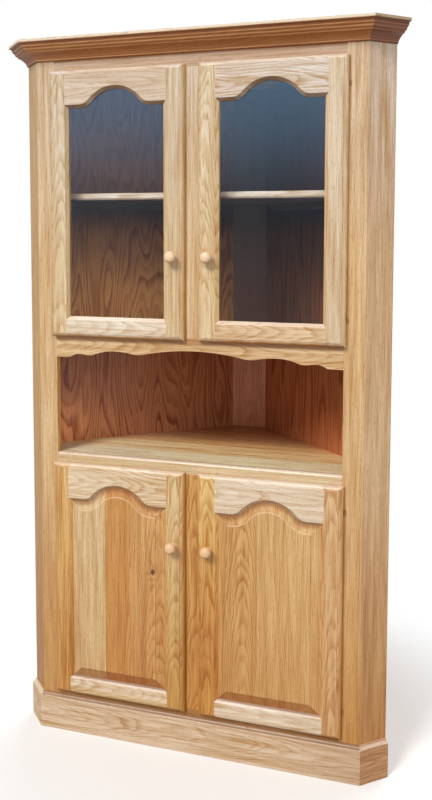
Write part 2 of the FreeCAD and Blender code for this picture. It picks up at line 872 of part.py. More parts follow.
def doorLeaf(side, up):
    body = newBody("door_leaf")
    flat = rectangle(doorSide - size["doorLeafReach"], doorBack, doorSide, doorBack + leaf)
    pad(body, outline(body, "leaf", "XY_Plane", flat), size["leafHeight"], middle=True)
    arm = rectangle(doorSide, doorBack, zero, doorBack + leaf)
    start = knuckleHeight / 2 + size["knuckleGap"]
    for below, lift in ((False, start), (True, -start)):
        pad(body, outline(body, "arm", "XY_Plane", arm, lift), knuckleHeight, back=below)
        pad(body, barrel(body, lift), knuckleHeight, back=below)
    pocket(body, circle(body, "bore", "XY_Plane", size["pinRadius"] + size["pinFit"]))
    return atHinge(body, side, up)


def hingePin(side, up):
    body = newBody("pin")
    pad(body, circle(body, "round", "XY_Plane", size["pinRadius"]), pinLength, middle=True)
    return atHinge(body, side, up)


# A catch on the side of the mullion, behind the meeting stile.
def magneticCatch(side, up):
    body = newBody("catch")
    front = -size["catchProud"]
    width = size["catchWidth"]
    slot = size["catchSlot"]
    case = rectangle(halfMullion, front, halfMullion + width, front + size["catchDepth"])
    pad(body, outline(body, "plan", "XY_Plane", flipped(case, side)), size["catchHeight"],
        middle=True)
    middle = halfMullion + width / 2
    gap = rectangle(middle - slot / 2, front - over, middle + slot / 2, front + slot)
    pocket(body, outline(body, "slot", "XY_Plane", flipped(gap, side)))
    stand(body, up=up)
    return body


doors = [
    ("upper", True, upperDoorBottom, upperDoorHeight, size["upperCrestWidth"],
     upperDoorBottom + size["upperKnobUp"]),
    ("lower", False, size["lowerDoorBottom"], size["lowerDoorHeight"], size["lowerCrestWidth"],
     lowerDoorTop - size["lowerKnobDown"]),
]
frameLeaves = []
pins = []
catches = []
for level, glazed, bottom, height, crestWidth, knobHeight in doors:
    for hand, side in (("left", -1), ("right", 1)):
        name = level + "_" + hand
        hingeEdge = doorOuter if side > 0 else -doorOuter
        meetingEdge = doorMeet if side > 0 else -doorMeet
        stiles = doc.addObject("Part::Compound", name + "_stiles")
        stiles.Links = [
            doorStile(name + "_hinge_stile", glazed, hingeEdge, -side, bottom, height),
            doorStile(name + "_meeting_stile", glazed, meetingEdge, side, bottom, height),
        ]
        doorRails(name, side, glazed, bottom, height, crestWidth, stiles)
        if glazed:
            glazing(name, side, bottom, height, crestWidth)
        else:
            raisedPanel(name, side, bottom, height, crestWidth)
        knob(name, side, knobHeight)
        hingeHeights = [bottom + size["hingeInset"], bottom + height - size["hingeInset"]]
        group(name + "_hinge_leaves", [doorLeaf(side, up) for up in hingeHeights])
        frameLeaves += [frameLeaf(side, up) for up in hingeHeights]
        pins += [hingePin(side, up) for up in hingeHeights]
        catches.append(magneticCatch(side, knobHeight + size["catchRise"]))
group("hinge_frame_leaves", frameLeaves)
group("hinge_pins", pins)
group("magnetic_catches", catches)

doc.recompute()
faults = []
for thing in doc.Objects:
    if "Invalid" in thing.State or "Error" in thing.State:
        faults.append(thing.Label)
for thing in subParts:
    shape = thing.Shape
    if shape.isNull() or not shape.isValid() or shape.Volume <= 0:
        faults.append(thing.Label)
if faults:
    raise RuntimeError("these did not build: " + ", ".join(faults))
for thing in subParts:
    thing.Shape.exportStep("parts/" + thing.Label + ".step")
    print(thing.Label, len(thing.Shape.Solids), "solids", round(thing.Shape.Volume / 1000), "cc")
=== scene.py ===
import math
import random

import bmesh
import bpy
from mathutils import Matrix, Vector


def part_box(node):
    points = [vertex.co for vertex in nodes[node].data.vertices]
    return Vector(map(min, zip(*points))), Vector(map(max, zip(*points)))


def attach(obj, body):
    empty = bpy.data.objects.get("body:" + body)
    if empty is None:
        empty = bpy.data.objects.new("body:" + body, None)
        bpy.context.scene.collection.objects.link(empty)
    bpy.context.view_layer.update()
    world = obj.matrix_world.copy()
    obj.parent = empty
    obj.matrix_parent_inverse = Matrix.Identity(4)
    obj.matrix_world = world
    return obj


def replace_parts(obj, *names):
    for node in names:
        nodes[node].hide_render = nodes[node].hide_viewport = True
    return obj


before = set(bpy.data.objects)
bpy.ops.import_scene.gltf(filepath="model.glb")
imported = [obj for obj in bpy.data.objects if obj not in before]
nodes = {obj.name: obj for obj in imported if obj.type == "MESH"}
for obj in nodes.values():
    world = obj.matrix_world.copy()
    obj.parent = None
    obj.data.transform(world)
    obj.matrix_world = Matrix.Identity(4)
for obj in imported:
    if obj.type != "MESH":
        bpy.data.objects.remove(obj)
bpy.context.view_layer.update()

scene = bpy.context.scene
print("frame loaded:", len(nodes), "nodes")

upward = (0, 0, 1)
rightward = (1, 0, 0)
inward = (0, 1, 0)

# Camera, fitted to the hutch's straight edges. Sizes are metres and degrees.
cameraView = {
    "azimuth": 18.3193,
    "elevation": 4.5134,
    "roll": 0.1734,
    "place": (0.8721, -2.5682, 1.44494),
    "focalPixels": 912.07,
    "axisPixel": (228.24, 312.69),
    "frame": (432, 800),
    "filmWidth": 36,        # millimetres
}


def outwardFrom(side, height):
    # a direction away from the hutch: degrees to the right of its face, and above level
    side = math.radians(side)
    height = math.radians(height)
    return Vector((math.sin(side) * math.cos(height), -math.cos(side) * math.cos(height),
                   math.sin(height)))


def placeCamera(view):
    back = outwardFrom(view["azimuth"], view["elevation"])
    right = (-back).cross(Vector(upward)).normalized()
    up = right.cross(-back)
    roll = math.radians(view["roll"])
    turned = right * math.cos(roll) + up * math.sin(roll)
    up = up * math.cos(roll) - right * math.sin(roll)
    lens = bpy.data.cameras.new("hutchCamera")
    wide, tall = view["frame"]
    lens.sensor_width = view["filmWidth"]
    lens.lens = view["focalPixels"] * view["filmWidth"] / tall
    lens.shift_x = (wide / 2 - view["axisPixel"][0]) / tall
    lens.shift_y = (view["axisPixel"][1] - tall / 2) / tall
    lens.dof.use_dof = False
    camera = bpy.data.objects.new("hutchCamera", lens)
    scene.collection.objects.link(camera)
    camera.matrix_world = Matrix((
        (turned.x, up.x, back.x, view["place"][0]),
        (turned.y, up.y, back.y, view["place"][1]),
        (turned.z, up.z, back.z, view["place"][2]),
        (0, 0, 0, 1)))
    scene.camera = camera


placeCamera(cameraView)
print("camera placed")


# A socket that can be added, multiplied and so on, each step a Math node.
class Wire:
    def __init__(self, shade, socket):
        self.shade = shade
        self.socket = socket

    def math(self, operation, *values):
        return self.shade.node("ShaderNodeMath", {"operation": operation}, dict(enumerate(values)))

    def __add__(self, other):
        return self.math("ADD", self, other)

    def __radd__(self, other):
        return self.math("ADD", other, self)

    def __sub__(self, other):
        return self.math("SUBTRACT", self, other)

    def __rsub__(self, other):
        return self.math("SUBTRACT", other, self)

    def __mul__(self, other):
        return self.math("MULTIPLY", self, other)

    def __rmul__(self, other):
        return self.math("MULTIPLY", other, self)

    def __truediv__(self, other):
        return self.math("DIVIDE", self, other)

    def __rtruediv__(self, other):
        return self.math("DIVIDE", other, self)

    def __neg__(self):
        return self.math("MULTIPLY", self, -1.0)

    def __abs__(self):
        return self.math("ABSOLUTE", self)

    def fraction(self):
        return self.math("FRACT", self)

    def whole(self):
        return self.math("FLOOR", self)

    def root(self):
        return self.math("SQRT", self)

    def ease(self, low, high):
        # 0 up to low, 1 from high on, an S between them
        return self.shade.node("ShaderNodeMapRange", {"interpolation_type": "SMOOTHSTEP"},
                               {"Value": self, "From Min": low, "From Max": high})

    def held(self):
        return self.shade.node("ShaderNodeClamp", {}, {"Value": self})


# The nodes of one material, or of the world around the hutch.
class Shade:
    def __init__(self, holder, ending="Material"):
        self.holder = holder
        holder.use_nodes = True
        self.tree = holder.node_tree
        self.tree.nodes.clear()
        self.output = self.tree.nodes.new("ShaderNodeOutput" + ending)

    def node(self, kind, settings, values, output=0):
        made = self.tree.nodes.new(kind)
        for name, setting in settings.items():
            setattr(made, name, setting)
        for name, value in values.items():
            if isinstance(value, Wire):
                self.tree.links.new(value.socket, made.inputs[name])
            else:
                made.inputs[name].default_value = value
        return Wire(self, made.outputs[output])

    def place(self):
        return self.node("ShaderNodeTexCoord", {}, {}, "Object")

    def vector(self, x, y, z):
        return self.node("ShaderNodeCombineXYZ", {}, {"X": x, "Y": y, "Z": z})

    def along(self, place, direction):
        return self.node("ShaderNodeVectorMath", {"operation": "DOT_PRODUCT"},
                         {0: place, 1: direction}, "Value")

    def length(self, place):
        return self.node("ShaderNodeVectorMath", {"operation": "LENGTH"}, {0: place}, "Value")

    def noise(self, place, scale, detail=2.0, roughness=0.5):
        return self.node("ShaderNodeTexNoise", {},
                         {"Vector": place, "Scale": scale, "Detail": detail,
                          "Roughness": roughness})

    def chance(self, number):
        return self.node("ShaderNodeTexWhiteNoise", {"noise_dimensions": "1D"}, {"W": number})

    def blend(self, factor, first, second, mode="MIX"):
        return self.node("ShaderNodeMix", {"data_type": "RGBA", "blend_type": mode},
                         {0: factor, 6: first, 7: second}, 2)

    # multiplies by a tint: a real tone in some uses, painted light or shade in others
    def tinted(self, share, wood, tint):
        return self.blend(share, wood, colour(*tint), "MULTIPLY")

    def bumped(self, height, strength, distance):
        return self.node("ShaderNodeBump", {},
                         {"Strength": strength, "Height": height, "Distance": distance})

    def ray(self, kind):
        return self.node("ShaderNodeLightPath", {}, {}, "Is " + kind + " Ray")

    def seen(self):
        # 1 for what the camera sees: straight on, mirrored, or through a pane
        found = self.ray("Camera")
        for kind in ("Glossy", "Transmission"):
            found = found.math("MAXIMUM", found, self.ray(kind))
        return found

    def either(self, share, first, second):
        return self.node("ShaderNodeMixShader", {}, {0: share, 1: first, 2: second})

    def skin(self, values):
        return self.node("ShaderNodeBsdfPrincipled", {}, values)

    def finish(self, shader):
        self.tree.links.new(shader.socket, self.output.inputs["Surface"])
        return self.holder


def newShade(name):
    return Shade(bpy.data.materials.new(name))


def colour(red, green, blue):
    return (red, green, blue, 1.0)


# Open grain takes the finish, so a tone made deeper turns browner as well.
deepening = {
    "powers": (1.0, 1.8, 3.3),      # of the share, for red, green and blue
    "brightest": 0.95,
}


def shaded(tone, share):
    return colour(*[min(part * share ** power, deepening["brightest"])
                    for part, power in zip(tone, deepening["powers"])])


half = math.sqrt(0.5)
rightBack = (half, half, 0)
rightFront = (half, -half, 0)
leftBack = (-half, half, 0)
# The ways a board can lie: across its face, into its depth, along its grain.
boardWays = {
    "upright": (rightward, inward, upward),
    "level": (upward, inward, rightward),
    "flat": (inward, upward, rightward),
    "rightWallUpright": (rightFront, rightBack, upward),
    "leftWallUpright": (rightBack, leftBack, upward),
    "rightReturnUpright": (rightBack, leftBack, upward),
    "leftReturnUpright": (rightFront, rightBack, upward),
    "rightReturnLevel": (upward, leftBack, rightBack),
    "leftReturnLevel": (upward, rightBack, rightFront),
}

# Oak as it is unless a board below says otherwise. Lengths in metres.
oakBoard = {
    "pith": (0.10, 0.05),   # centre of the tree, across and behind the face
    "ringGap": 0.0036,
    "taper": 0.05,          # how far the rings lean along the board
    "wander": 0.012,        # slow bends of the grain
    "figure": 1.0,          # strength of the ring lines
    "streaks": 1.3,         # strength of the lines along the grain
    "base": 0.26,           # how far plain wood goes toward the darkest
    "deep": 0.68,           # share of the tone left in the darkest wood
    "edge": 0.97,           # share of it left on moulded edges, painted shade where they turn from the front
    "under": (0.62, 0.33, 0.15),    # tint on edges that face down, painted shade
    "side": (1.3, 1.04, 0.68),      # tint on edges that face sideways, painted light and shade
    "topHighlight": 0.55,           # strength of the painted highlight on edges that face up
    "topHighlightTone": (0.82, 0.67, 0.55),
    "heightTint": (1.0, 1.0),   # how far the wood pales to the top and darkens to the floor
    "roughness": 0.38,
    "gloss": 0.32,
    "coat": 0.15,
    "coatRoughness": 0.20,
    "poreDepth": 0.00022,
}


def ringsAt(shade, u, v, w, board, shift):
    # distance from the pith, leaning and bent, counted in rings
    pith = board["pith"]
    slow = shade.noise(shade.vector(u * 4.0 + shift, v * 4.0, w * 1.6 - shift), 1.0, 2.0, 0.5)
    wave = shade.noise(shade.vector(u * 20.0 - shift, v * 20.0 + shift, w * 4.0), 1.0, 2.0)
    fine = shade.noise(shade.vector(u * 90.0, v * 90.0 + shift, w * 12.0), 1.0, 1.0)
    across = u - pith[0]
    inside = v - pith[1]
    growth = (across * across + inside * inside).root() + w * board["taper"]
    growth = growth + (slow - 0.5) * board["wander"] * 3.0 + (wave - 0.5) * board["wander"] * 0.5
    growth = growth / board["ringGap"] + (fine - 0.5) * 0.8
    season = shade.noise(shade.vector(growth * 0.3, shift, 0.0), 1.0, 1.0)
    return growth + (season - 0.5) * 1.6


faceSplit = 0.0005      # how softly a sheet's look changes halfway through it


def outerSide(shade, place, board):
    # 1 on the side of a sheet that faces away from the cupboard's inside, 0 on the other
    depth = shade.along(place, boardWays[board["way"]][1])
    return depth.ease(board["halfway"] - faceSplit, board["halfway"] + faceSplit)


# The glazed part gets painted shade on its inner faces alone: one tint just above the deck, a
# darker one higher up, and a painted shadow, darkest, right under the shelf.
insideShade = {
    "deckEdge": 0.005,      # how softly it starts at the deck's top
    "fade": (0.06, 0.36),   # above the deck, from the low tint to the high one
    "shelfShade": (0.11, 0.015),    # below the shelf, from where it deepens to where it is full
    "shelfEdge": 0.004,
}


def paintInsideShade(shade, wood, place, board):
    inside = insideShade
    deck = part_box("upper_deck")[1][2]
    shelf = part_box("upper_shelf")[0][2]
    height = shade.along(place, upward)
    dark = height.ease(deck - inside["deckEdge"], deck + inside["deckEdge"])
    if "halfway" in board:
        dark = dark * (1.0 - outerSide(shade, place, board))
    low, high, underShelf = [colour(*tint) for tint in board["shadeTints"]]
    start, end = inside["fade"]
    shadeTints = shade.blend(height.ease(deck + start, deck + end), low, high)
    start, end = inside["shelfShade"]
    # painted shadow under the shelf
    under = height.ease(shelf - start, shelf - end)
    under = under - height.ease(shelf, shelf + inside["shelfEdge"])
    shadeTints = shade.blend(under, shadeTints, underShelf)
    return shade.blend(dark, wood, shadeTints, "MULTIPLY")


# Upright boards are paler near the top and browner near the floor.
heightTints = {
    "top": (1.0, 1.14, 1.5),
    "topHeights": (1.25, 1.95),     # where it begins and is full
    "foot": (0.78, 0.6, 0.38),
    "footHeights": (0.1, 1.05),     # where it is full and ends
}


def tintedByHeight(shade, wood, place, shares):
    height = shade.along(place, upward)
    top, foot = [[1.0 + share * (part - 1.0) for part in heightTints[end]]
                 for share, end in zip(shares, ("top", "foot"))]
    wood = shade.tinted(height.ease(*heightTints["topHeights"]), wood, top)
    return shade.tinted(1.0 - height.ease(*heightTints["footHeights"]), wood, foot)


# A raised panel: painted shade on the lower slope, a painted shadow under the arch, and a
# painted highlight along the upper edge of the field.
raisedPanelLight = {
    "slopeShade": (0.70, 0.52, 0.35),
    "archShadow": (0.58, 0.46, 0.38),
    "archShadowFrom": (0.0036, 0.0066),     # behind the field's face
    # painted highlight along the field's upper edge
    "line": (0.93, 0.80, 0.62),
    "lineWidth": 0.003,
}


def paintRaisedPanelLight(shade, wood, place, tilt, face):
    panel = raisedPanelLight
    back = shade.along(place, inward) - face
    rounded = shade.node("ShaderNodeBevel", {"samples": 4}, {"Radius": panel["lineWidth"]})
    turned = shade.along(rounded, upward) - tilt
    # painted shade on the lower slope and lower edges, painted shadow under the arch
    wood = shade.tinted((-tilt).ease(0.05, 0.16), wood, panel["slopeShade"])
    archShadow = back.ease(*panel["archShadowFrom"]) * tilt.ease(0.03, 0.12)
    wood = shade.tinted(archShadow, wood, panel["archShadow"])
    wood = shade.tinted((-turned).ease(0.12, 0.5) * 0.7, wood, panel["slopeShade"])
    return shade.blend(turned.ease(0.1, 0.45) * 0.8, wood, colour(*panel["line"]))


def woodTones(tone, deep):
    # plain wood, the darkest early wood, and open pores
    return [shaded(tone, share) for share in (1.12, deep, deep * 0.66)]


# The parts of the grain: how often each changes in a metre across the board and along it,
# which of its three directions the board's own shift moves, and its noise.
grainParts = {
    "fibre": {"across": 260.0, "along": 9.0, "moved": "u", "detail": 2.0, "rough": 0.6},
    "streak": {"across": 75.0, "along": 3.0, "moved": "v", "detail": 2.0, "rough": 0.6},
    "blotch": {"across": 7.0, "along": 2.0, "moved": "vw", "detail": 2.0, "rough": 0.5},
    "dashes": {"across": 430.0, "along": 48.0, "moved": "w", "detail": 1.0, "rough": 0.5},
    "pores": {"across": 1400.0, "along": 130.0, "moved": "w", "detail": 1.0, "rough": 0.5},
}


def grainOf(shade, u, v, w, shift):
    found = []
    for part in grainParts.values():
        spot = {"u": u * part["across"], "v": v * part["across"], "w": w * part["along"]}
        for direction in part["moved"]:
            spot[direction] = spot[direction] + shift
        found.append(shade.noise(shade.vector(*spot.values()), 1.0, part["detail"],
                                 part["rough"]))
    return found


gluedShift = {"across": 0.061, "along": 0.83, "more": 0.41}     # metres within the tree


# Oak: growth rings about a pith that runs beside the board, so flat faces get loops and
# edges get straight lines, with open pores in the early wood of every ring.
def oak(name, given, middle, seed):
    board = dict(oakBoard, **given)
    shade = newShade(name)
    place = shade.place()
    across, depth, grain = [Vector(axis) for axis in boardWays[board["way"]]]
    u = shade.along(place, across) - middle.dot(across)
    v = shade.along(place, depth) - middle.dot(depth)
    w = shade.along(place, grain) - middle.dot(grain)
    faceU = u
    faceW = w
    tones = woodTones(board["tone"], board["deep"])
    for number, (edge, tone) in enumerate(board.get("glued", [])):
        # boards glued side by side, each from its own place in the tree
        past = faceU.math("GREATER_THAN", faceU, edge)
        u = u + past * (gluedShift["across"] * (1 - 2 * (number % 2)))
        w = w + past * (gluedShift["along"] + gluedShift["more"] * number)
        tones = [shade.blend(past, before, after)
                 for before, after in zip(tones, woodTones(tone, board["deep"]))]
    plain, dark, openPore = tones
    shift = seed * 3.71
    growth = ringsAt(shade, u, v, w, board, shift)
    knot = board.get("knot")
    if knot:
        off = shade.vector(faceU - knot["place"][0], (faceW - knot["place"][1]) * 0.7, 0.0)
        away = shade.length(off)
        growth = growth + (1.0 - away.ease(0.0, knot["radius"] * 5.0)) * 1.2
    phase = growth.fraction()
    early = (1.0 - phase.ease(0.06, 0.75)) * phase.ease(0.0, 0.06)
    early = early * (shade.chance(growth.whole() + seed * 0.77) * 0.7 + 0.4)
    facing = shade.node("ShaderNodeTexCoord", {}, {}, "Normal")
    turnedFromFront = 1.0 - abs(shade.along(facing, depth)).ease(0.90, 0.995)
    tilt = shade.along(facing, upward)
    fibre, streak, blotch, dashes, pores = grainOf(shade, u, v, w, shift)
    dashes = dashes.ease(0.54, 0.72) * (early * 0.8 + 0.30)
    pores = pores.ease(0.54, 0.66) * (early * 0.9 + 0.15)
    depthOf = early * (0.50 * board["figure"]) + (fibre - 0.5) * (1.1 * board["streaks"])
    depthOf = depthOf + (streak - 0.5) * (1.1 * board["streaks"]) + (blotch - 0.5) * 0.6
    wood = shade.blend((depthOf + board["base"]).held(), plain, dark)
    # painted shade on faces that turn away from the front
    wood = shade.blend(turnedFromFront, wood, shaded((1.0, 1.0, 1.0), board["edge"]), "MULTIPLY")
    if board["way"] == "upright":
        # painted light and shade on edges that face sideways
        facingSideways = abs(shade.along(facing, across)).ease(0.4, 1.0)
        wood = shade.tinted(facingSideways, wood, board["side"])
    if board["way"] != "flat":
        # painted shade on faces that face down
        wood = shade.tinted((-tilt).ease(0.1, 1.02), wood, board["under"])
        # painted highlight on edges that face up
        topLit = tilt.ease(0.15, 0.6) * board["topHighlight"]
        wood = shade.blend(topLit, wood, colour(*board["topHighlightTone"]))
    if "raised" in board:
        wood = paintRaisedPanelLight(shade, wood, place, tilt, board["raised"])
    for axis, low, high, soft, tint in board.get("bands", []):
        reach = shade.along(place, axis)
        within = reach.ease(low - soft, low + soft) - reach.ease(high - soft, high + soft)
        wood = shade.tinted(within, wood, tint)
    if board["way"].lower().endswith("upright"):
        wood = tintedByHeight(shade, wood, place, board["heightTint"])
    if "lip" in board:
        height, lipTone = board["lip"]
        top = shade.along(place, upward).ease(height - 0.001, height + 0.002)
        wood = shade.blend(top, wood, colour(*lipTone))
    if "outside" in board:
        wood = shade.tinted(outerSide(shade, place, board), wood, board["outside"])
    if "shadeTints" in board:
        wood = paintInsideShade(shade, wood, place, board)
    # painted shade on faces that point down
    if "underside" in board:
        wood = shade.tinted((-tilt).ease(0.5, 0.9), wood, board["underside"])
    wood = shade.blend((dashes * 0.5 + pores * 0.45).held(), wood, openPore)
    if knot:
        near = 1.0 - away.ease(knot["radius"] * 0.6, knot["radius"] * 1.3)
        wood = shade.blend(near * 0.95, wood, colour(*knot["tone"]))
    relief = (fibre * 0.3 - pores - dashes * 0.3).held()
    return shade.finish(shade.skin({
        "Base Color": wood,
        "Roughness": pores * 0.2 + (fibre - 0.5) * 0.08 + board["roughness"],
        "Specular IOR Level": board["gloss"],
        "Coat Weight": board["coat"],
        "Coat Roughness": board["coatRoughness"],
        "Normal": shade.bumped(relief, 0.5, board["poreDepth"]),
    }))


# Oak-faced plywood: a peeled face, wide and wavy, from the contours of a slow figure.
oakSheet = {
    "lines": 13.0,          # how many contours the figure has
    "across": 8.0,          # how fast it changes across the sheet
    "along": 1.7,           # and along it
    "figure": 1.0,
    "fibre": 0.8,
    "deep": 0.5,
    "roughness": 0.42,
    "coat": 0.2,
}


def peeledOak(name, given, seed):
    sheet = dict(oakSheet, **given)
    shade = newShade(name)
    place = shade.place()
    u, v, w = [shade.along(place, axis) for axis in boardWays[sheet["way"]]]
    shift = seed * 2.93
    figure = shade.noise(shade.vector(u * sheet["across"] + shift, v * 2.0,
                                      w * sheet["along"] + shift), 1.0, 2.0, 0.45)
    crimp = shade.noise(shade.vector(u * 60.0, v * 4.0 + shift, w * 9.0), 1.0, 2.0)
    growth = figure * sheet["lines"] + (crimp - 0.5) * 0.7
    phase = growth.fraction()
    early = (1.0 - phase.ease(0.08, 0.7)) * phase.ease(0.0, 0.08)
    early = early * (shade.chance(growth.whole() + seed) * 0.6 + 0.45)
    fibre = shade.noise(shade.vector(u * 260.0 + shift, v * 260.0, w * 7.0), 1.0, 2.0, 0.6)
    pores = shade.noise(shade.vector(u * 520.0, v * 520.0, w * 44.0), 1.0, 1.0)
    pores = pores.ease(0.53, 0.70) * (early * 0.8 + 0.25)
    depthOf = (early * 0.75 * sheet["figure"] + (fibre - 0.5) * sheet["fibre"] + 0.14).held()
    wood = shade.blend(depthOf, shaded(sheet["tone"], 1.25), shaded(sheet["tone"], sheet["deep"]))
    wood = shade.blend(pores * 0.55, wood, shaded(sheet["tone"], sheet["deep"] * 0.6))
    if "outside" in sheet:
        outer = outerSide(shade, place, sheet)
        wood = shade.tinted(outer, wood, sheet["outside"])
    for (near, far), (start, low, high), tint in sheet.get("paintedGlow", []):
        # painted light on inner faces alone, up from a height and toward the open side
        share = w.ease(start, start + 0.01) * (1.0 - w.ease(low, high))
        share = share * (1.0 - u.ease(near, far)) * (1.0 - outer)
        wood = shade.tinted(share, wood, tint)
    if "shadeTints" in sheet:
        wood = paintInsideShade(shade, wood, place, sheet)
    relief = (fibre * 0.3 - pores).held()
    return shade.finish(shade.skin({
        "Base Color": wood,
        "Roughness": pores * 0.2 + sheet["roughness"],
        "Specular IOR Level": oakBoard["gloss"],
        "Coat Weight": sheet["coat"],
        "Coat Roughness": oakBoard["coatRoughness"],
        "Normal": shade.bumped(relief, 0.4, oakBoard["poreDepth"]),
    }))


# Pane glass: clear low down, with a painted reflection, a cool sheen, growing toward the top.
paneGlass = {
    "tone": (0.84, 0.86, 0.88),
    "bends": (1.5, 1.95),           # how strongly it bends light, low down and at the top
    "paintedSheens": ((0.24, 0.27, 0.32), (0.36, 0.66, 1.0)),
    "heights": (1.48, 1.90),        # between which the one becomes the other
    "lamplight": (0.78, 0.8, 0.82),     # what is left of it behind a pane
}


def clearGlass(name):
    shade = newShade(name)
    low, high = [shade.skin({
        "Base Color": colour(*paneGlass["tone"]),
        "Roughness": 0.0,
        "IOR": bend,
        "Specular Tint": colour(*paintedSheen),
        "Transmission Weight": 1.0,
    }) for bend, paintedSheen in zip(paneGlass["bends"], paneGlass["paintedSheens"])]
    height = shade.along(shade.place(), upward).ease(*paneGlass["heights"])
    pane = shade.either(height, low, high)
    # lamps pass straight through, so what stands behind the pane is lit
    through = shade.node("ShaderNodeBsdfTransparent", {},
                         {"Color": colour(*paneGlass["lamplight"])})
    return shade.finish(shade.either(shade.ray("Shadow"), pane, through))


hingeBronze = {
    "dark": (0.26, 0.14, 0.065),
    "light": (0.38, 0.21, 0.10),
    "rubbed": (0.42, 0.27, 0.14),
    "metal": 0.85,
    "roughness": 0.38,
}


def bronze(name):
    metal = hingeBronze
    shade = newShade(name)
    place = shade.place()
    cloud = shade.noise(place, 160.0, 3.0, 0.6)
    rub = shade.noise(place, 420.0, 2.0).ease(0.5, 0.72)
    tint = shade.blend(cloud, colour(*metal["dark"]), colour(*metal["light"]))
    tint = shade.blend(rub * 0.5, tint, colour(*metal["rubbed"]))
    return shade.finish(shade.skin({
        "Base Color": tint,
        "Metallic": metal["metal"],
        "Roughness": metal["roughness"] + cloud * 0.2,
    }))


def plated(name, tone, roughness):
    shade = newShade(name)
    scuff = shade.noise(shade.place(), 600.0, 2.0)
    return shade.finish(shade.skin({
        "Base Color": shade.blend(scuff, colour(*tone), shaded(tone, 0.75)),
        "Metallic": 1.0,
        "Roughness": roughness + scuff * 0.15,
    }))


def plastic(name, tone, roughness):
    shade = newShade(name)
    grit = shade.noise(shade.place(), 1800.0, 2.0)
    return shade.finish(shade.skin({
        "Base Color": shade.blend(grit, colour(*tone), shaded(tone, 0.8)),
        "Roughness": roughness + grit * 0.1,
        "Normal": shade.bumped(grit, 0.25, 0.0001),
    }))


def dress(node, material):
    for slot in nodes[node].material_slots:
        slot.material = material


def middleOf(node):
    low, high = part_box(node)
    return (Vector(low) + Vector(high)) / 2


def halfwayThrough(node, way):
    # the middle of a sheet's thickness
    outward = Vector(boardWays[way][1])
    reach = [outward.dot(vertex.co) for vertex in nodes[node].data.vertices]
    return (min(reach) + max(reach)) / 2


# Tones are linear shares of red, green and blue, as the wood looks in even light. A band
# multiplies them between two places along an axis: axis, from, to, softness, tint. Painted
# shade inside the glazed part has three tints: just above the deck, higher up, and right under the
# shelf.
straight = {"pith": (0.12, 0.05), "figure": 0.8}
straightToo = {"pith": (-0.13, 0.04), "figure": 0.8}
flame = {"pith": (0.005, 0.05), "wander": 0.016}
wildFlame = {"pith": (-0.004, 0.04), "wander": 0.026, "figure": 1.3}
matt = {"coat": 0.0, "gloss": 0.1}
crownLook = {
    # painted shade on the crown's downward faces, painted highlight on its upward ones
    "under": (0.56, 0.38, 0.2),
    "topHighlight": 0.3,
    "bands": [
        # painted shadow under the lip, a painted highlight on a bead, painted shade at the foot
        (upward, 1.9849, 1.9909, 0.0008, (0.64, 0.49, 0.40)),
        (upward, 1.9810, 1.9845, 0.0008, (1.1, 1.18, 1.25)),
        (upward, 1.9440, 1.9486, 0.0008, (0.62, 0.44, 0.34)),
    ],
    "lip": (1.9925, (0.82, 0.68, 0.50)),    # height, and the tone above it
    "figure": 0.5,
    "streaks": 0.9,
}
# the cleats inside the glazed part take its painted shade
cleatWood = dict(straight, way="level", tone=(0.52, 0.31, 0.14),
                 shadeTints=((0.3, 0.26, 0.23), (0.22, 0.2, 0.18), (0.1, 0.09, 0.08)))
